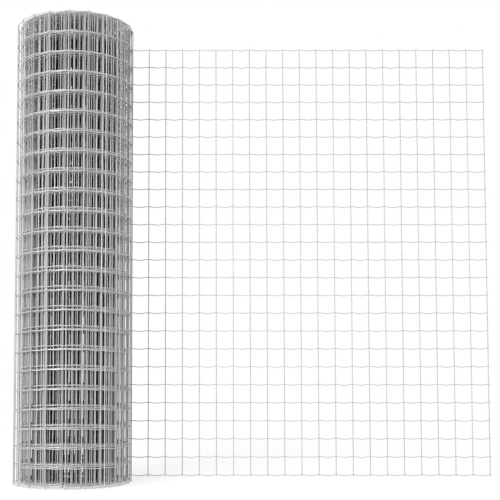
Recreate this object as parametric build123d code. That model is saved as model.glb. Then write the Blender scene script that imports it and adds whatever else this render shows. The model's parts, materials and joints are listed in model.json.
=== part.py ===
from build123d import *
import math
import os

# A roll of welded wire fencing that stands on end, with its free end unrolled into
# a flat length behind it. Millimetres, +Z up. The origin is on the roll's axis, at
# the level that it stands on. The flat length leaves the back of the roll along +X.

# The mesh: line wires run along the fence, and cross wires stand across it.
CELL_HEIGHT = 50.0  # from one line wire to the next
CELL_LENGTH = 47.5  # from one cross wire to the next
CELLS_HIGH = 24
WIRE_DIAMETER = 2.5
WELD_SINK = 0.4  # how far two wires sink into each other where they are welded
WAVE_DEPTH = 2.5  # how far a line wire dips between two cross wires
TOP_STUB = 2.0  # a cross wire stands this far above the middle of the top line wire

# The roll
BORE_RADIUS = 40.0
TURNS = 32
TURN_GAP = 1.05  # free room between the line wires of one turn and those of the next
GROOVE_DEPTH = 8.0  # how deep the gap between two turns shows on each end

# The flat length
CELLS_UNROLLED = 24
CELLS_BESIDE_ROLL = 12  # cells in the half that joins the roll
LINE_WIRE_STUB = 3.0  # a line wire ends this far past the last cross wire
CREST_SHARE = 0.24  # share of a cell in which a line wire runs level at a crest or a trough

# Sizes that follow from those
BAR_SIDES = 4
BAR_CORNER = WIRE_DIAMETER / 2 / math.cos(math.pi / BAR_SIDES)
MESH_THICKNESS = 2 * WIRE_DIAMETER - WELD_SINK
TURN_PITCH = WIRE_DIAMETER + TURN_GAP  # the turns nest, so it is less than the thickness
ROLL_RADIUS = BORE_RADIUS + (TURNS - 1) * TURN_PITCH + MESH_THICKNESS
LOWEST_ROW = WAVE_DEPTH + BAR_CORNER
HEIGHT = LOWEST_ROW + CELLS_HIGH * CELL_HEIGHT + TOP_STUB
LINE_WIRE_Y = ROLL_RADIUS - MESH_THICKNESS + WIRE_DIAMETER / 2
CROSS_WIRE_Y = ROLL_RADIUS - WIRE_DIAMETER / 2


def turn_ridges():
    """Inner and outer radius of each turn's edge wire, from the bore outwards."""
    inner = [BORE_RADIUS + turn * TURN_PITCH for turn in range(TURNS)]
    return [(radius, radius + WIRE_DIAMETER) for radius in inner]


def end_outline(edge_z, groove_z):
    """One end of the roll's section, from the bore outwards: a ridge for each turn."""
    outline = []
    for inner, outer in turn_ridges():
        outline += [(inner, groove_z), (inner, edge_z), (outer, edge_z), (outer, groove_z)]
    return outline[1:] + [(ROLL_RADIUS, groove_z)]


def rolled_turns():
    """The roll: one solid of revolution with its bore, and a ridge for each turn on its ends."""
    low = end_outline(0, GROOVE_DEPTH)
    high = end_outline(HEIGHT, HEIGHT - GROOVE_DEPTH)
    outline = [(radius, 0, z) for radius, z in low + high[::-1]]
    section = Face(Wire.make_polygon([Vector(*point) for point in outline]))
    return revolve(section, Axis.Z)


def bar_corners():
    """Corners of a wire's section about its middle: across the mesh, then up or along it."""
    step = 2 * math.pi / BAR_SIDES
    angles = [step * (side + 0.5) for side in range(BAR_SIDES)]
    return [(BAR_CORNER * math.cos(angle), BAR_CORNER * math.sin(angle)) for angle in angles]


def line_wire_path(start, end):
    """Points (x, dip) of a line wire that crests at each cross wire and dips between two."""
    level = CREST_SHARE * CELL_LENGTH / 2
    first = math.floor(start / CELL_LENGTH) - 1
    last = math.ceil(end / CELL_LENGTH) + 1
    corners = []
    for cell in range(first, last):
        crest = cell * CELL_LENGTH
        trough = crest + CELL_LENGTH / 2
        corners += [(crest - level, 0), (crest + level, 0)]
        corners += [(trough - level, -WAVE_DEPTH), (trough + level, -WAVE_DEPTH)]

    def dip(x):
        for (x0, z0), (x1, z1) in zip(corners, corners[1:]):
            if x0 <= x <= x1:
                return z0 + (z1 - z0) * (x - x0) / (x1 - x0)
        return 0

    inside = [corner for corner in corners if start < corner[0] < end]
    return [(start, dip(start))] + inside + [(end, dip(end))]


def lowest_line_wire(start, end):
    """The lowest line wire of the flat length, as a bar whose flat sides meet at each bend."""
    rings = [
        [Vector(x, LINE_WIRE_Y + across, LOWEST_ROW + dip + up) for across, up in bar_corners()]
        for x, dip in line_wire_path(start, end)
    ]
    faces = [Face(Wire.make_polygon(rings[0])), Face(Wire.make_polygon(rings[-1]))]
    for near, far in zip(rings, rings[1:]):
        for side in range(BAR_SIDES):
            after = (side + 1) % BAR_SIDES
            corners = [near[side], near[after], far[after], far[side]]
            faces.append(Face(Wire.make_polygon(corners)))
    return Solid(Shell(faces))


def cross_wire(x):
    """One cross wire of the flat length, a straight bar from the floor to the top edge."""
    ring = [Vector(x + along, CROSS_WIRE_Y + across, 0) for across, along in bar_corners()]
    return extrude(Face(Wire.make_polygon(ring)), HEIGHT, dir=(0, 0, 1))


def flat_mesh(first_cell, last_cell, start, end):
    """Welded mesh with cross wires first_cell to last_cell, and line wires from start to end."""
    lowest = lowest_line_wire(start, end)
    line_wires = [Pos(0, 0, row * CELL_HEIGHT) * lowest for row in range(CELLS_HIGH + 1)]
    cross_wires = [cross_wire(cell * CELL_LENGTH) for cell in range(first_cell, last_cell + 1)]
    return Part() + (line_wires + cross_wires)


def unrolled_near_half():
    """The half of the flat length that joins the roll, its line wires cut to the roll's side."""
    middle = (CELLS_BESIDE_ROLL + 0.5) * CELL_LENGTH
    mesh = flat_mesh(1, CELLS_BESIDE_ROLL, 0, middle)
    roll_side = Pos(0, 0, HEIGHT / 2) * Cylinder(ROLL_RADIUS, 2 * HEIGHT)
    return mesh - roll_side


def unrolled_far_half():
    """The outer half of the flat length, with the fence's free end."""
    middle = (CELLS_BESIDE_ROLL + 0.5) * CELL_LENGTH
    free_end = CELLS_UNROLLED * CELL_LENGTH + LINE_WIRE_STUB
    return flat_mesh(CELLS_BESIDE_ROLL + 1, CELLS_UNROLLED, middle, free_end)


os.makedirs("parts", exist_ok=True)
export_step(rolled_turns(), "parts/rolled_turns.step")
export_step(unrolled_near_half(), "parts/unrolled_near_half.step")
export_step(unrolled_far_half(), "parts/unrolled_far_half.step")
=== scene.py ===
import json
import math
import bpy
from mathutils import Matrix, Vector


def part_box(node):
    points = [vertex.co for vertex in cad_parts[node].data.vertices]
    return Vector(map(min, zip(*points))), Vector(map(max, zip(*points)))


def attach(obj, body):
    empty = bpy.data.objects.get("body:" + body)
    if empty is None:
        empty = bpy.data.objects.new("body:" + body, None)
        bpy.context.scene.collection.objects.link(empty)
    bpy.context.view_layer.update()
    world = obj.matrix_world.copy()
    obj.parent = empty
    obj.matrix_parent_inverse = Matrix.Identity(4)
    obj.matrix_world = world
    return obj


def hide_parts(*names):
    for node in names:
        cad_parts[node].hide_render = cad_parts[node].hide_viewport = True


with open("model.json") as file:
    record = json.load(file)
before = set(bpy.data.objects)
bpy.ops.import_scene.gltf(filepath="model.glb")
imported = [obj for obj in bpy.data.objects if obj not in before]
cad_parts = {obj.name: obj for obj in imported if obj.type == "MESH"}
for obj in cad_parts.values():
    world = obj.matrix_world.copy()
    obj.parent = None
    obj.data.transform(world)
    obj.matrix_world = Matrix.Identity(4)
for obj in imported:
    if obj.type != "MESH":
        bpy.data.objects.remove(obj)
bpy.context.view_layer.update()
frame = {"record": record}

# A roll of welded wire fencing that stands on end, with its free end unrolled into a
# flat length behind it. Metres, +Z up. The origin is on the roll's axis, on the floor.
bl_info = {
    "name": "Roll of welded wire fencing",
    "version": (1, 0, 0),
    "blender": (4, 5, 0),
    "location": "3D View > Sidebar > Fencing",
    "description": "Makes every wire of a standing roll of fencing and of its flat free end",
    "category": "Add Mesh",
}

MM = 0.001
FULL_TURN = 2 * math.pi
QUARTER_TURN = math.pi / 2
WHITE = (1, 1, 1, 1)

# What the frame gives
ROLL_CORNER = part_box("rolled_turns")[1]
ROLL_RADIUS = ROLL_CORNER.x
FENCE_HEIGHT = ROLL_CORNER.z
FREE_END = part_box("unrolled_far_half")[1].x
MOUNTS = {mount["name"]: mount for mount in frame["record"]["mounts"]}
BORE_RADIUS = MOUNTS["bore"]["dims"]["r_mm"] * MM
LAST_CROSS_WIRE = MOUNTS["free_end"]["pos_m"][0]
CELLS_UNROLLED = 24  # cells that the flat length has in the CAD
ROLL_NODES = ("rolled_turns",)
FLAT_NODES = ("unrolled_near_half", "unrolled_far_half")

# Line wires on the roll are made in bands of cells, counted back from where the fence
# leaves it: (last cell, steps in a cell, sides of the wire). The outer turns are the finest.
LINE_WIRE_BANDS = {
    "outer_line_wires": (60, 8, 6),
    "middle_line_wires": (225, 4, 5),
    "inner_line_wires": (math.inf, 4, 5),
}
STEPS_IN_FLAT_CELL = 8
STEPS_IN_CROSS_WIRE = 24
WIRE_SIDES = 6
SIDE_CORNERS = 4  # of each face along a wire; the caps at its ends have more
END_ROOM = 0.1 * MM  # lets a leaning cross wire end inside the fence's height

# Weld beads
WELDED_CELLS = 60
BEAD_SEGMENTS = 6
BEAD_RINGS = 4
BEAD_RADIUS = 1.25  # in radii of the wire
SMALLEST_BEAD = 0.85
LARGEST_BEAD = 1.1

# How the mesh strays along the fence: ups and downs of each noise in a metre, and its share
LEAN_ALONG = 4.0
LEAN_UP = 0.8
LEAN_SHARE = 0.55
BEND_ALONG = 21.0
BEND_UP = 3.5
BEND_SHARE = 0.45
SLIP_ALONG = 0.9
BEND_SEED = 5  # these two keep the noises of one seed apart
SLIP_SEED = 9
STRAYS_AFTER = 200 * MM  # the mesh strays in full this far back from the flat length

# How unevenly the line wires dip
DIP_ALONG = 11.0
DIP_UP = 7.0
USUAL_DIP = 0.9
DIP_SPREAD = 0.3
NOISE_LEVEL = 0.5  # height in the noise, where nothing else sets it

# How the turns lie above and below each other
NESTING_TURNS = 4  # after this many turns the nesting repeats
NESTING_EDGE = 2  # how sharply low turns change to high ones
SIDE_DROP_FADE = 4.0  # how fast the drop at the sides fades up the roll
SIDE_DROP_SCALE = 12  # brings the largest drop to about the one that is set
FOOT_UNEVENNESS = 0.35
FOOT_RISE = 2  # how much more the foot is lifted at the bore, in foot lifts
FOOT_FADE = 3.0  # how fast the lift fades up the roll

# Tones of the dullest and the brightest wire of each kind: 0 is dull zinc, 1 is bright. The spread
# within each kind is the zinc's own tone, differing at random; the line wires' higher tones than the
# cross wires' are a painted highlight, for the light from above that horizontal wires catch
ROLLED_LINE_TONES = (0.8, 1.2)
ROLLED_CROSS_TONES = (0.0, 1.0)
FLAT_LINE_TONES = (0.8, 1.0)
FLAT_CROSS_TONES = (0.45, 0.65)

# The zinc's mottle and grain: spots in a metre, and shares of the colour and the bump
MOTTLE_FINENESS = 260.0
MOTTLE_DETAIL = 4.0
MOTTLE_ROUGHNESS = 0.6
GRAIN_FINENESS = 1400.0
GRAIN_DETAIL = 2.0
MOTTLE_IN_COLOUR = 0.4
TONE_IN_COLOUR = 0.6
MOTTLE_IN_BUMP = 0.6
GRAIN_IN_BUMP = 0.4
BUMP_HEIGHT = 0.2 * MM
BUMP_STRENGTH = 0.25
ALL_DULL = 0.2  # the mix of mottle and tone at which the zinc is dull
ALL_BRIGHT = 0.8  # and at which it is bright

# Where the turns' colour is darkened as painted shade, as shares of the roll's radius, and the depth
# from its ends within which it is painted lit
SHADED_WITHIN = 0.55
LIT_BEYOND = 0.9
LIT_END_DEPTH = 20 * MM

# Stage
FLOOR_SIDES = 96
FLOOR_TONE = 0.62
FLOOR_LIFT = 0.62  # brings the floor that the camera sees close to white
FLOOR_SHOWN_TO = 0.9  # this far from the roll the floor starts to turn white
FLOOR_WHITE_FROM = 2.2  # and from here on it is all white
STAGE_MIDDLE = (0.3, 0.0, FENCE_HEIGHT / 2)
KEY_LAMP_SIZE = 2.4
FILL_LAMP_SIZE = 2.0
SENSOR_WIDTH = 36  # in millimetres, as Blender gives it


class MeshSettings(bpy.types.PropertyGroup):
    """Sizes of the welded mesh, rolled up or flat."""

    wire_diameter: bpy.props.FloatProperty(
        name="Wire diameter", description="Thickness of every wire",
        default=2.5 * MM, unit="LENGTH")
    cell_height: bpy.props.FloatProperty(
        name="Cell height", description="From one line wire to the next",
        default=50 * MM, unit="LENGTH")
    cell_length: bpy.props.FloatProperty(
        name="Cell length", description="From one cross wire to the next",
        default=LAST_CROSS_WIRE / CELLS_UNROLLED, unit="LENGTH")
    cells_high: bpy.props.IntProperty(
        name="Cells high", description="Cells from the lowest line wire to the highest",
        default=24)
    top_stub: bpy.props.FloatProperty(
        name="Top stub", description="A cross wire stands this far above the top line wire",
        default=2 * MM, unit="LENGTH")
    wave_depth: bpy.props.FloatProperty(
        name="Wave depth", description="How far a line wire dips between two cross wires",
        default=2.5 * MM, unit="LENGTH")
    weld_sink: bpy.props.FloatProperty(
        name="Weld sink", description="How far two wires sink into each other at a weld",
        default=0.4 * MM, unit="LENGTH")


class RollSettings(bpy.types.PropertyGroup):
    """How the mesh is wound up."""

    turns: bpy.props.IntProperty(
        name="Turns", description="Turns of mesh from the bore to the outside", default=32)
    turn_pitch: bpy.props.FloatProperty(
        name="Turn pitch", description="From one turn of mesh to the next",
        default=3.5 * MM, unit="LENGTH")
    loose_until: bpy.props.FloatProperty(
        name="Loose until", description="The outer turn stands free this far back from its end",
        default=math.radians(200), subtype="ANGLE")
    tight_from: bpy.props.FloatProperty(
        name="Tight from", description="The outer turn lies on the others this far back",
        default=math.radians(300), subtype="ANGLE")
    side_shift: bpy.props.FloatProperty(
        name="Side shift", description="How far the tight turns sit towards the flat length",
        default=4 * MM, unit="LENGTH")
    crook: bpy.props.FloatProperty(
        name="Crook", description="How far a cross wire strays from upright",
        default=5 * MM, unit="LENGTH")
    drift: bpy.props.FloatProperty(
        name="Drift", description="How far the cells of one turn slip past those of the next",
        default=36 * MM, unit="LENGTH")
    nest: bpy.props.FloatProperty(
        name="Nest", description="Half of how far the low turns lie below the high ones",
        default=5 * MM, unit="LENGTH")
    side_drop: bpy.props.FloatProperty(
        name="Side drop", description="How far the lower rows fall from the front to the sides",
        default=8 * MM, unit="LENGTH")
    inner_drop: bpy.props.FloatProperty(
        name="Inner drop", description="How far the innermost turn's top lies below the outer one's",
        default=8 * MM, unit="LENGTH")
    foot_lift: bpy.props.FloatProperty(
        name="Foot lift", description="How far the outermost tight turns stand off the floor",
        default=5 * MM, unit="LENGTH")
    wave_left: bpy.props.FloatProperty(
        name="Wave left", description="Share of the line wires' wave that winding leaves",
        default=0.6, subtype="FACTOR")
    seed: bpy.props.IntProperty(
        name="Seed", description="Chooses which wires stray and how bright each is", default=63)


class FinishSettings(bpy.types.PropertyGroup):
    """Colour and shine of the zinc on the wire, and the painted shade of the inner turns."""

    dull_zinc: bpy.props.FloatVectorProperty(
        name="Dull zinc", description="Colour of the dullest wires",
        default=(0.36, 0.366, 0.375, 1), size=4, subtype="COLOR")
    bright_zinc: bpy.props.FloatVectorProperty(
        name="Bright zinc", description="Colour of the brightest wires",
        default=(0.65, 0.66, 0.671, 1), size=4, subtype="COLOR")
    # Painted shade: the inner turns' colour is darkened to this share of the outer turns' colour,
    # standing in for the shade deep among the turns.
    painted_shade_inner_share: bpy.props.FloatProperty(
        name="Inner share", description="Colour of the inner turns, as a share of the outermost",
        default=0.04, subtype="FACTOR")
    metallic: bpy.props.FloatProperty(
        name="Metallic", description="How far the zinc shines like bare metal",
        default=0.45, subtype="FACTOR")
    roughness: bpy.props.FloatProperty(
        name="Roughness", description="Roughness where the mottle is darkest",
        default=0.36, subtype="FACTOR")
    roughness_spread: bpy.props.FloatProperty(
        name="Roughness spread", description="How much rougher the lightest mottle is",
        default=0.2, subtype="FACTOR")


class StageSettings(bpy.types.PropertyGroup):
    """Floor, light and camera."""

    floor_radius: bpy.props.FloatProperty(
        name="Floor radius", description="Radius of the floor", default=8, unit="LENGTH")
    room_light: bpy.props.FloatProperty(
        name="Room light", description="How brightly the white room lights the roll",
        default=0.54, subtype="FACTOR")
    key_place: bpy.props.FloatVectorProperty(
        name="Key place", description="Where the lamp at the front left hangs",
        default=(-1.9, -3.5, 1.0), size=3, subtype="TRANSLATION", unit="LENGTH")
    key_power: bpy.props.FloatProperty(
        name="Key power", description="Power of the lamp at the front left", default=138,
        unit="POWER")
    fill_place: bpy.props.FloatVectorProperty(
        name="Fill place", description="Where the lamp at the front right hangs",
        default=(2.6, -3.4, 1.2), size=3, subtype="TRANSLATION", unit="LENGTH")
    fill_power: bpy.props.FloatProperty(
        name="Fill power", description="Power of the lamp at the front right", default=4,
        unit="POWER")
    camera_place: bpy.props.FloatVectorProperty(
        name="Camera place", description="Where the camera stands",
        default=(0.3203, -2.508, 0.298), size=3, subtype="TRANSLATION", unit="LENGTH")
    camera_tilt: bpy.props.FloatProperty(
        name="Camera tilt", description="How far the camera looks up",
        default=math.radians(3.5), subtype="ANGLE")
    camera_lens: bpy.props.FloatProperty(
        name="Camera lens", description="Focal length of the camera", default=68.44,
        unit="CAMERA")
    camera_shift: bpy.props.FloatVectorProperty(
        name="Camera shift", description="Shift to the right and up, as shares of the picture",
        default=(0.11, 0.121), size=2)


class Value:
    """A number that a node tree works out. The signs + - * / add Math nodes to the tree."""

    def __init__(self, sheet, socket):
        self.sheet = sheet
        self.socket = socket

    def math(self, operation, *others):
        feeds = dict(enumerate((self, *others)))
        return self.sheet.value("ShaderNodeMath", feeds, operation=operation)

    def __add__(self, other):
        return self.math("ADD", other)

    def __radd__(self, other):
        return self.math("ADD", other)

    def __sub__(self, other):
        return self.math("SUBTRACT", other)

    def __rsub__(self, other):
        return (self * -1).math("ADD", other)

    def __mul__(self, other):
        return self.math("MULTIPLY", other)

    def __truediv__(self, other):
        return self.math("DIVIDE", other)

    def within(self, low, high):
        return self.math("MAXIMUM", low).math("MINIMUM", high)


class Sheet:
    """A node tree in the making, with short calls to add and join its nodes."""

    COLUMNS = 9
    COLUMN_WIDTH = 200
    ROW_HEIGHT = 260

    def __init__(self, tree):
        self.tree = tree

    def add(self, kind, feeds, **settings):
        """Adds a node, with feeds from the name or number of an input to what goes in."""
        node = self.tree.nodes.new(kind)
        place = len(self.tree.nodes)
        node.location = (
            place % self.COLUMNS * self.COLUMN_WIDTH,
            -(place // self.COLUMNS) * self.ROW_HEIGHT,
        )
        for name, setting in settings.items():
            setattr(node, name, setting)
        for key, source in feeds.items():
            self.feed(node.inputs[key], source)
        return node

    def feed(self, target, source):
        """Joins source to an input, or sets the input where source is a plain number."""
        if isinstance(source, Value):
            self.tree.links.new(source.socket, target)
        elif isinstance(source, bpy.types.NodeSocket):
            self.tree.links.new(source, target)
        else:
            target.default_value = source

    def value(self, kind, feeds, output=0, **settings):
        """Adds a node and gives one of its outputs as a Value."""
        return Value(self, self.add(kind, feeds, **settings).outputs[output])

    def vector(self, x, y, z):
        return self.value("ShaderNodeCombineXYZ", {0: x, 1: y, 2: z})

    def parts_of(self, vector):
        """The x, y and z of a vector."""
        node = self.add("ShaderNodeSeparateXYZ", {0: vector})
        return [Value(self, output) for output in node.outputs]

    def place(self):
        """Where each point of the geometry is: its x, y and z."""
        return self.parts_of(self.value("GeometryNodeInputPosition", {}))

    def wander(self, x, y, z):
        """Smooth noise from -1 to 1 at a place."""
        feeds = {"Vector": self.vector(x, y, z), "Scale": 1.0, "Detail": 0.0}
        return (self.value("ShaderNodeTexNoise", feeds) - 0.5) * 2

    def smooth_step(self, value, low, high):
        """Rises smoothly from 0 at low to 1 at high."""
        feeds = {"Value": value, "From Min": low, "From Max": high}
        return self.value("ShaderNodeMapRange", feeds, interpolation_type="SMOOTHSTEP")

    def random(self, low, high, seed):
        """Another number from low to high for each copy."""
        feeds = {2: low, 3: high, "Seed": seed}
        return self.value("FunctionNodeRandomValue", feeds, output=1, data_type="FLOAT")

    def moved(self, geometry, places):
        feeds = {"Geometry": geometry, "Position": places}
        return self.add("GeometryNodeSetPosition", feeds).outputs[0]

    def row_of_points(self, count, start, step):
        """Points in a line from start, each a step after the last."""
        feeds = {"Count": count, "Start Location": start, "Offset": step}
        return self.add("GeometryNodeMeshLine", feeds, mode="OFFSET").outputs[0]


SOCKET_KINDS = {
    float: "NodeSocketFloat",
    int: "NodeSocketInt",
    bpy.types.Material: "NodeSocketMaterial",
}

MESH_INPUTS = {
    "Start": float,
    "Length": float,
    "Copies": int,
    "Steps": int,
    "Sides": int,
    "Wire radius": float,
    "Rows": int,
    "Cell height": float,
    "Cell length": float,
    "Lowest row": float,
    "Height": float,
    "Wave depth": float,
    "Cross wire offset": float,
    "End radius": float,
    "Crook": float,
    "Drift": float,
    "Dullest": float,
    "Brightest": float,
    "Seed": int,
    "Finish": bpy.types.Material,
}

ROLL_INPUTS = {
    "First radius": float,
    "Growth": float,
    "Whole angle": float,
    "Loose until": float,
    "Tight from": float,
    "Side shift": float,
    "Nest": float,
    "Side drop": float,
    "Inner drop": float,
    "Foot lift": float,
}


def geometry_sheet(name, inputs):
    """A Geometry Nodes tree with these named inputs, as a Sheet and the inputs' Values."""
    tree = bpy.data.node_groups.new(name, "GeometryNodeTree")
    for label, kind in inputs.items():
        tree.interface.new_socket(label, in_out="INPUT", socket_type=SOCKET_KINDS[kind])
    tree.interface.new_socket("Wires", in_out="OUTPUT", socket_type="NodeSocketGeometry")
    sheet = Sheet(tree)
    entry = sheet.add("NodeGroupInput", {})
    return sheet, {label: Value(sheet, entry.outputs[label]) for label in inputs}


def repeated(sheet, line, places, given):
    """Copies of a line of points at the places, each with its own wire_tone, as one mesh."""
    copies = sheet.add("GeometryNodeInstanceOnPoints", {"Points": places, "Instance": line})
    tone = sheet.random(given["Dullest"], given["Brightest"], given["Seed"])
    with_tone = sheet.add(
        "GeometryNodeStoreNamedAttribute",
        {"Geometry": copies.outputs[0], "Name": "wire_tone", "Value": tone},
        data_type="FLOAT",
        domain="INSTANCE",
    )
    feeds = {"Geometry": with_tone.outputs["Geometry"]}
    return sheet.add("GeometryNodeRealizeInstances", feeds).outputs[0]


def rows(sheet, given):
    """One point for each line wire, one above another."""
    lowest = sheet.vector(0.0, 0.0, given["Lowest row"])
    return sheet.row_of_points(given["Rows"], lowest, sheet.vector(0.0, 0.0, given["Cell height"]))


def stations(sheet, given):
    """One point for each cross wire, along the fence."""
    start = sheet.vector(given["Start"], 0.0, 0.0)
    return sheet.row_of_points(given["Copies"], start, sheet.vector(given["Cell length"], 0.0, 0.0))


def stray(sheet, travel, height, given):
    """How far the mesh strays along the fence at a place, as its wires lean and bend."""
    seed = given["Seed"]
    lean = sheet.wander(travel * LEAN_ALONG, seed, height * LEAN_UP)
    bend = sheet.wander(travel * BEND_ALONG, seed + BEND_SEED, height * BEND_UP)
    slip = sheet.wander(travel * SLIP_ALONG, seed + SLIP_SEED, NOISE_LEVEL)
    amount = (travel * (-1 / STRAYS_AFTER)).within(0.0, 1.0)
    crook = (lean * LEAN_SHARE + bend * BEND_SHARE) * given["Crook"]
    return (crook + slip * given["Drift"]) * amount


def flat_line_wires(sheet, given):
    """Middles of the line wires before they are rolled up: x along the fence, z up it."""
    step = given["Length"] / given["Steps"]
    start = sheet.vector(given["Start"], 0.0, 0.0)
    line = sheet.row_of_points(given["Steps"] + 1, start, sheet.vector(step, 0.0, 0.0))
    wires = repeated(sheet, line, rows(sheet, given), given)
    travel, _, height = sheet.place()
    swing = (travel / given["Cell length"] * FULL_TURN).math("COSINE")
    change = sheet.wander(travel * DIP_ALONG, height * DIP_UP, NOISE_LEVEL)
    dip = (1 - swing) * 0.5 * given["Wave depth"] * (change * DIP_SPREAD + USUAL_DIP)
    strayed = travel + stray(sheet, travel, height, given)
    return sheet.moved(wires, sheet.vector(strayed, 0.0, height - dip))


def flat_cross_wires(sheet, given):
    """Middles of the cross wires before they are rolled up, on the outer side of the mesh."""
    step = (given["Height"] - END_ROOM * 2) / given["Steps"]
    ground = sheet.vector(0.0, given["Cross wire offset"], END_ROOM)
    upright = sheet.row_of_points(given["Steps"] + 1, ground, sheet.vector(0.0, 0.0, step))
    wires = repeated(sheet, upright, stations(sheet, given), given)
    travel, across, height = sheet.place()
    strayed = travel + stray(sheet, travel, height, given)
    return sheet.moved(wires, sheet.vector(strayed, across, height))


def flat_welds(sheet, given):
    """A point at each weld before the mesh is rolled up."""
    welds = repeated(sheet, rows(sheet, given), stations(sheet, given), given)
    travel, _, height = sheet.place()
    strayed = travel + stray(sheet, travel, height, given)
    return sheet.moved(welds, sheet.vector(strayed, given["Cross wire offset"] * 0.5, height))


def rolled_up(sheet, geometry, given):
    """Winds flat mesh onto the roll. Travel 0 is where the roll ends and the flat begins."""
    travel, across, height = sheet.place()
    first = given["First radius"]
    growth = given["Growth"]
    whole = given["Whole angle"]
    whole_length = (first + growth * whole * 0.5) * whole
    wound_length = travel + whole_length
    turned = ((first * first + growth * wound_length * 2).math("SQRT") - first) / growth
    back = whole - turned
    tight = first + growth * turned
    loose = sheet.smooth_step(back, given["Tight from"], given["Loose until"])
    radius = tight + (given["End radius"] - tight) * loose + across
    shift = given["Side shift"] * (turned / whole) * (1 - loose)
    angle = back + QUARTER_TURN
    x = angle.math("COSINE") * radius + shift
    y = angle.math("SINE") * radius
    return sheet.moved(geometry, sheet.vector(x, y, height + nesting(sheet, back, height, given)))


def nesting(sheet, back, height, given):
    """How far a place is above its own row. Two turns lie low and the next two high, and the
    lower rows fall to the sides. The roll stands on its outer turn. The foot of the others
    rises a little towards the bore, and their top falls a little towards it."""
    share = height / given["Height"]
    below_top = 1 - share
    room = share * below_top * 4  # 1 halfway up, 0 at both ends
    phase = back / NESTING_TURNS + QUARTER_TURN / NESTING_TURNS
    low = (phase.math("SINE") * NESTING_EDGE).within(-1.0, 1.0)
    nested = (low + 1) * given["Nest"] * room
    side = back.math("SINE").math("POWER", 2.0)
    fading = below_top.math("POWER", SIDE_DROP_FADE) * SIDE_DROP_SCALE
    sagged = side * share * fading * given["Side drop"]
    inward = back / given["Whole angle"]
    dropped = inward * share * given["Inner drop"]
    inside = sheet.smooth_step(back, given["Loose until"], given["Tight from"])
    lift = (1 - low * FOOT_UNEVENNESS + inward * FOOT_RISE) * given["Foot lift"]
    lifted = inside * below_top.math("POWER", FOOT_FADE) * lift
    return lifted - (nested + sagged) * back.within(0.0, 1.0) - dropped


def laid_flat(sheet, geometry, given):
    """Puts flat mesh behind the roll, on the line on which it leaves it."""
    travel, across, height = sheet.place()
    return sheet.moved(geometry, sheet.vector(travel, across + given["End radius"], height))


def round_wire(sheet, lines, given):
    """Gives lines of points the thickness of the wire, with smooth sides and flat ends."""
    curves = sheet.add("GeometryNodeMeshToCurve", {"Mesh": lines}).outputs[0]
    section = sheet.add(
        "GeometryNodeCurvePrimitiveCircle",
        {"Resolution": given["Sides"], "Radius": given["Wire radius"]},
        mode="RADIUS",
    )
    tube = sheet.add(
        "GeometryNodeCurveToMesh",
        {"Curve": curves, "Profile Curve": section.outputs[0], "Fill Caps": True},
    )
    corners = sheet.value("GeometryNodeInputMeshFaceNeighbors", {})
    is_side = corners.math("LESS_THAN", SIDE_CORNERS + 0.5)
    smooth = sheet.add(
        "GeometryNodeSetShadeSmooth",
        {"Geometry": tube.outputs[0], "Selection": is_side, "Shade Smooth": True},
        domain="FACE",
    )
    return smooth.outputs[0]


def weld_beads(sheet, places, given):
    """A bead of zinc at each weld."""
    bead = sheet.add(
        "GeometryNodeMeshUVSphere",
        {
            "Segments": BEAD_SEGMENTS,
            "Rings": BEAD_RINGS,
            "Radius": given["Wire radius"] * BEAD_RADIUS,
        },
    )
    beads = sheet.add(
        "GeometryNodeInstanceOnPoints",
        {
            "Points": places,
            "Instance": bead.outputs[0],
            "Scale": sheet.random(SMALLEST_BEAD, LARGEST_BEAD, given["Seed"]),
        },
    )
    return sheet.add("GeometryNodeSetShadeSmooth", {"Geometry": beads.outputs[0]}).outputs[0]


def fence_tree(name, make_flat, place, give_body, extra_inputs):
    """A tree that makes wires or welds, rolls them up or lays them flat, and gives them a body."""
    sheet, given = geometry_sheet(name, {**MESH_INPUTS, **extra_inputs})
    placed = place(sheet, make_flat(sheet, given), given)
    bodies = give_body(sheet, placed, given)
    real = sheet.add("GeometryNodeRealizeInstances", {"Geometry": bodies}).outputs[0]
    feeds = {"Geometry": real, "Material": given["Finish"]}
    painted = sheet.add("GeometryNodeSetMaterial", feeds).outputs[0]
    sheet.add("NodeGroupOutput", {"Wires": painted})
    return sheet.tree


def flat_values(scene):
    """Values of the trees' inputs that follow from the mesh's settings."""
    mesh = scene.fence_mesh
    radius = mesh.wire_diameter / 2
    offset = mesh.wire_diameter - mesh.weld_sink
    return {
        "Start": mesh.cell_length,
        "Length": 0.0,
        "Copies": CELLS_UNROLLED,
        "Steps": 1,
        "Sides": WIRE_SIDES,
        "Wire radius": radius,
        "Rows": mesh.cells_high + 1,
        "Cell height": mesh.cell_height,
        "Cell length": mesh.cell_length,
        "Lowest row": FENCE_HEIGHT - mesh.top_stub - mesh.cells_high * mesh.cell_height,
        "Height": FENCE_HEIGHT,
        "Wave depth": mesh.wave_depth,
        "Cross wire offset": offset,
        "End radius": ROLL_RADIUS - offset - radius,
        "Crook": 0.0,
        "Drift": 0.0,
        "Seed": scene.fence_roll.seed,
        "Finish": bpy.data.materials.get("galvanised_zinc") or galvanised_zinc(scene.fence_finish),
    }


def rolled_values(scene):
    """Values of the trees' inputs for mesh on the roll."""
    roll = scene.fence_roll
    return {
        **flat_values(scene),
        "First radius": BORE_RADIUS + scene.fence_mesh.wire_diameter / 2,
        "Growth": roll.turn_pitch / FULL_TURN,
        "Whole angle": (roll.turns - 1) * FULL_TURN,
        "Loose until": roll.loose_until,
        "Tight from": roll.tight_from,
        "Side shift": roll.side_shift,
        "Crook": roll.crook,
        "Drift": roll.drift,
        "Nest": roll.nest,
        "Side drop": roll.side_drop,
        "Inner drop": roll.inner_drop,
        "Foot lift": roll.foot_lift,
        "Wave depth": scene.fence_mesh.wave_depth * roll.wave_left,
    }


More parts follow.
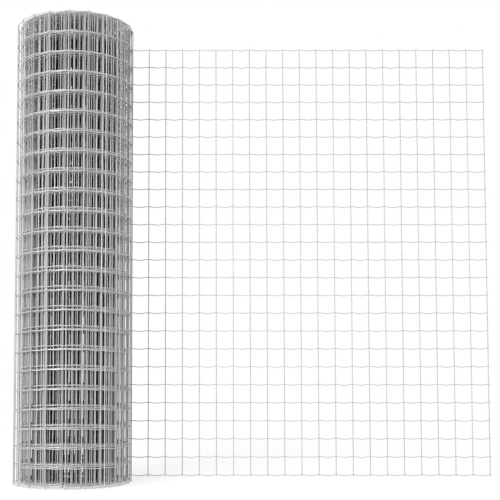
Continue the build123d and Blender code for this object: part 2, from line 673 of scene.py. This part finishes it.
def toned(values, tones):
    """The same values, for wires from the first of these tones to the second."""
    dullest, brightest = tones
    return {**values, "Dullest": dullest, "Brightest": brightest}


def rolled_cells(values):
    """How many whole cells of the fence are on the roll."""
    middle_radius = values["First radius"] + values["Growth"] * values["Whole angle"] / 2
    return math.floor(middle_radius * values["Whole angle"] / values["Cell length"])


def grow(name, tree, values, nodes):
    """Makes a piece from a tree, as a plain mesh, puts it on the root body and hides the nodes it
    stands for.
    """
    piece = bpy.data.objects.new(name, bpy.data.meshes.new(name))
    bpy.context.scene.collection.objects.link(piece)
    modifier = piece.modifiers.new(tree.name, "NODES")
    modifier.node_group = tree
    for item in tree.interface.items_tree:
        if item.in_out == "INPUT":
            modifier[item.identifier] = values[item.name]
    evaluated = piece.evaluated_get(bpy.context.evaluated_depsgraph_get())
    mesh = bpy.data.meshes.new_from_object(evaluated)
    piece.modifiers.clear()
    piece.data = mesh
    mesh.name = name
    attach(piece, "root")
    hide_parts(*nodes)


class WindLineWires(bpy.types.Operator):
    """Make the roll's line wires, which run along the fence and are wound into turns"""

    bl_idname = "mesh.wind_line_wires"
    bl_label = "Wind line wires"

    def execute(self, context):
        tree = fence_tree(
            "wound line wires", flat_line_wires, rolled_up, round_wire, ROLL_INPUTS)
        values = toned(rolled_values(context.scene), ROLLED_LINE_TONES)
        cell = values["Cell length"]
        done = 0
        for name, (last, steps, sides) in LINE_WIRE_BANDS.items():
            last = min(last, rolled_cells(values))
            values["Start"] = -last * cell
            values["Length"] = (last - done) * cell
            values["Steps"] = (last - done) * steps
            values["Sides"] = sides
            grow(name, tree, values, ROLL_NODES)
            done = last
        return {"FINISHED"}


class WindCrossWires(bpy.types.Operator):
    """Make the roll's cross wires, which stand upright outside the line wires"""

    bl_idname = "mesh.wind_cross_wires"
    bl_label = "Wind cross wires"

    def execute(self, context):
        tree = fence_tree(
            "wound cross wires", flat_cross_wires, rolled_up, round_wire, ROLL_INPUTS)
        values = toned(rolled_values(context.scene), ROLLED_CROSS_TONES)
        cells = rolled_cells(values)
        values["Start"] = -cells * values["Cell length"]
        values["Copies"] = cells + 1
        values["Steps"] = STEPS_IN_CROSS_WIRE
        grow("rolled_cross_wires", tree, values, ROLL_NODES)
        return {"FINISHED"}


class LayFlatWires(bpy.types.Operator):
    """Make the wires of the flat length behind the roll"""

    bl_idname = "mesh.lay_flat_wires"
    bl_label = "Lay flat wires"

    def execute(self, context):
        values = toned(flat_values(context.scene), FLAT_CROSS_TONES)
        tree = fence_tree("flat cross wires", flat_cross_wires, laid_flat, round_wire, {})
        values["Steps"] = STEPS_IN_CROSS_WIRE
        grow("flat_cross_wires", tree, values, FLAT_NODES)
        values = toned(values, FLAT_LINE_TONES)
        tree = fence_tree("flat line wires", flat_line_wires, laid_flat, round_wire, {})
        values["Start"] = 0.0
        values["Length"] = FREE_END
        values["Steps"] = CELLS_UNROLLED * STEPS_IN_FLAT_CELL
        grow("flat_line_wires", tree, values, FLAT_NODES)
        return {"FINISHED"}


class AddWelds(bpy.types.Operator):
    """Make the welds of the roll's outer turns and of the flat length"""

    bl_idname = "mesh.add_welds"
    bl_label = "Add welds"

    def execute(self, context):
        values = toned(rolled_values(context.scene), ROLLED_LINE_TONES)
        tree = fence_tree("rolled welds", flat_welds, rolled_up, weld_beads, ROLL_INPUTS)
        values["Start"] = -WELDED_CELLS * values["Cell length"]
        values["Copies"] = WELDED_CELLS + 1
        grow("rolled_welds", tree, values, ROLL_NODES)
        values = toned(flat_values(context.scene), FLAT_CROSS_TONES)
        tree = fence_tree("flat welds", flat_welds, laid_flat, weld_beads, {})
        grow("flat_welds", tree, values, FLAT_NODES)
        return {"FINISHED"}


def shader_sheet(name):
    """A new material with an empty node tree, and its Sheet."""
    material = bpy.data.materials.new(name)
    material.use_nodes = True
    material.node_tree.nodes.clear()
    return material, Sheet(material.node_tree)


def zinc_colour(sheet, mottle, finish):
    """From dull to bright zinc, a little different on every wire; the line wires' higher tones are a
    painted highlight.
    """
    tone = sheet.value("ShaderNodeAttribute", {}, output="Fac", attribute_name="wire_tone")
    mix = mottle * MOTTLE_IN_COLOUR + tone * TONE_IN_COLOUR
    colour = sheet.add("ShaderNodeValToRGB", {"Fac": mix})
    dull, bright = colour.color_ramp.elements
    dull.position = ALL_DULL
    dull.color = finish.dull_zinc
    bright.position = ALL_BRIGHT
    bright.color = finish.bright_zinc
    return colour.outputs["Color"]


def lit_share(sheet, place, finish):
    """Painted shade and light: 1 on the outer turns and at the roll's ends, where the colour is
    painted lit, and less deep among the turns, where it is darkened as painted shade.
    """
    x, y, height = sheet.parts_of(place)
    radius = (x * x + y * y).math("SQRT")
    outside = sheet.smooth_step(radius, ROLL_RADIUS * SHADED_WITHIN, ROLL_RADIUS * LIT_BEYOND)
    half = FENCE_HEIGHT / 2
    from_middle = (height - half).math("ABSOLUTE")
    at_end = sheet.smooth_step(from_middle, half - LIT_END_DEPTH, half)
    # Painted light: full colour on the outer turns and near the ends; elsewhere the colour is
    # darkened as painted shade.
    painted_light_mask = outside.math("MAXIMUM", at_end)
    return finish.painted_shade_inner_share + painted_light_mask * (1 - finish.painted_shade_inner_share)


def galvanised_zinc(finish):
    """Zinc on steel wire: light grey and mottled, with a fine grain, and darkened deep among the
    turns by painted shade.
    """
    material, sheet = shader_sheet("galvanised_zinc")
    place = sheet.add("ShaderNodeTexCoord", {}).outputs["Object"]
    mottle = sheet.value(
        "ShaderNodeTexNoise",
        {
            "Vector": place,
            "Scale": MOTTLE_FINENESS,
            "Detail": MOTTLE_DETAIL,
            "Roughness": MOTTLE_ROUGHNESS,
        },
    )
    grain = sheet.value(
        "ShaderNodeTexNoise",
        {"Vector": place, "Scale": GRAIN_FINENESS, "Detail": GRAIN_DETAIL},
    )
    # Painted shade: the zinc's colour is scaled down deep among the turns and kept at the roll's
    # ends.
    shaded = sheet.add(
        "ShaderNodeVectorMath",
        {0: zinc_colour(sheet, mottle, finish), "Scale": lit_share(sheet, place, finish)},
        operation="SCALE",
    )
    bump = sheet.add(
        "ShaderNodeBump",
        {
            "Strength": BUMP_STRENGTH,
            "Distance": BUMP_HEIGHT,
            "Height": mottle * MOTTLE_IN_BUMP + grain * GRAIN_IN_BUMP,
        },
    )
    shader = sheet.add(
        "ShaderNodeBsdfPrincipled",
        {
            "Base Color": shaded.outputs[0],
            "Metallic": finish.metallic,
            "Roughness": finish.roughness + mottle * finish.roughness_spread,
            "Normal": bump.outputs["Normal"],
        },
    )
    sheet.add("ShaderNodeOutputMaterial", {"Surface": shader.outputs[0]})
    return material


def shown_white(sheet):
    """1 for a ray that shows the background as it is, straight or in a shine, otherwise 0."""
    path = sheet.add("ShaderNodeLightPath", {})
    kinds = ("Camera", "Glossy", "Transmission")
    seen, mirrored, through = (Value(sheet, path.outputs[f"Is {kind} Ray"]) for kind in kinds)
    return seen.math("MAXIMUM", mirrored).math("MAXIMUM", through)


def white_world(context):
    """A white room that lights the roll from all sides."""
    world = bpy.data.worlds.new("soft_white_room")
    world.use_nodes = True
    world.node_tree.nodes.clear()
    sheet = Sheet(world.node_tree)
    room_light = context.scene.fence_stage.room_light
    strength = room_light + shown_white(sheet) * (1 - room_light)
    background = sheet.add("ShaderNodeBackground", {"Color": WHITE, "Strength": strength})
    sheet.add("ShaderNodeOutputWorld", {"Surface": background.outputs[0]})
    context.scene.world = world


def pale_floor():
    """A pale floor that fades into the white behind it away from the roll."""
    material, sheet = shader_sheet("pale_floor")
    shown = shown_white(sheet)
    place = sheet.add("ShaderNodeTexCoord", {}).outputs["Object"]
    reach = sheet.value("ShaderNodeVectorMath", {0: place}, output="Value", operation="LENGTH")
    near = sheet.value(
        "ShaderNodeMapRange",
        {"Value": reach, "From Min": FLOOR_WHITE_FROM, "From Max": FLOOR_SHOWN_TO},
    )
    pale = (FLOOR_TONE, FLOOR_TONE, FLOOR_TONE, 1)
    diffuse = sheet.add("ShaderNodeBsdfDiffuse", {"Color": pale})
    lift = sheet.add("ShaderNodeEmission", {"Color": WHITE, "Strength": shown * FLOOR_LIFT})
    lit = sheet.add("ShaderNodeAddShader", {0: diffuse.outputs[0], 1: lift.outputs[0]})
    white = sheet.add("ShaderNodeEmission", {"Color": WHITE, "Strength": 1.0})
    far = shown * (1 - near)
    both = sheet.add("ShaderNodeMixShader", {0: far, 1: lit.outputs[0], 2: white.outputs[0]})
    sheet.add("ShaderNodeOutputMaterial", {"Surface": both.outputs[0]})
    return material


def soft_lamp(name, place, size, power):
    """A square area lamp at a place, turned towards the middle of the stage."""
    light = bpy.data.lights.new(name, "AREA")
    light.shape = "SQUARE"
    light.size = size
    light.energy = power
    lamp = bpy.data.objects.new(name, light)
    lamp.location = place
    aim = Vector(STAGE_MIDDLE) - Vector(place)
    lamp.rotation_euler = aim.to_track_quat("-Z", "Y").to_euler()
    bpy.context.scene.collection.objects.link(lamp)


class SetStage(bpy.types.Operator):
    """Make the floor, the lamps, the white room and the camera"""

    bl_idname = "scene.set_fencing_stage"
    bl_label = "Set stage"

    def execute(self, context):
        stage = context.scene.fence_stage
        bpy.ops.mesh.primitive_circle_add(
            vertices=FLOOR_SIDES, radius=stage.floor_radius, fill_type="NGON")
        floor = context.object
        floor.name = "floor"
        floor.data.materials.append(pale_floor())
        white_world(context)
        soft_lamp("key_lamp", stage.key_place, KEY_LAMP_SIZE, stage.key_power)
        soft_lamp("fill_lamp", stage.fill_place, FILL_LAMP_SIZE, stage.fill_power)
        self.place_camera(context)
        context.scene.view_settings.view_transform = "Standard"
        return {"FINISHED"}

    def place_camera(self, context):
        stage = context.scene.fence_stage
        camera = bpy.data.objects.new("camera", bpy.data.cameras.new("camera"))
        camera.data.sensor_width = SENSOR_WIDTH
        camera.data.lens = stage.camera_lens
        camera.data.shift_x, camera.data.shift_y = stage.camera_shift
        camera.location = stage.camera_place
        camera.rotation_euler = (QUARTER_TURN + stage.camera_tilt, 0, 0)
        context.scene.collection.objects.link(camera)
        context.scene.camera = camera


STEPS = (WindLineWires, WindCrossWires, LayFlatWires, AddWelds, SetStage)
GROUPS = {
    "fence_mesh": MeshSettings,
    "fence_roll": RollSettings,
    "fence_finish": FinishSettings,
    "fence_stage": StageSettings,
}


class FencingPanel(bpy.types.Panel):
    """Steps that make the roll, in their order"""

    bl_idname = "VIEW3D_PT_fencing_roll"
    bl_label = "Roll of fencing"
    bl_space_type = "VIEW_3D"
    bl_region_type = "UI"
    bl_category = "Fencing"

    def draw(self, context):
        for name, group in GROUPS.items():
            settings = getattr(context.scene, name)
            for setting in group.__annotations__:
                self.layout.prop(settings, setting)
        for step in STEPS:
            self.layout.operator(step.bl_idname)


def register():
    for group in (*GROUPS.values(), *STEPS, FencingPanel):
        bpy.utils.register_class(group)
    for name, group in GROUPS.items():
        setattr(bpy.types.Scene, name, bpy.props.PointerProperty(type=group))


def unregister():
    for name in GROUPS:
        delattr(bpy.types.Scene, name)
    for group in (*GROUPS.values(), *STEPS, FencingPanel):
        bpy.utils.unregister_class(group)


def main():
    register()
    for step in STEPS:
        category, name = step.bl_idname.split(".")
        getattr(getattr(bpy.ops, category), name)()


if __name__ == "__main__":
    main()
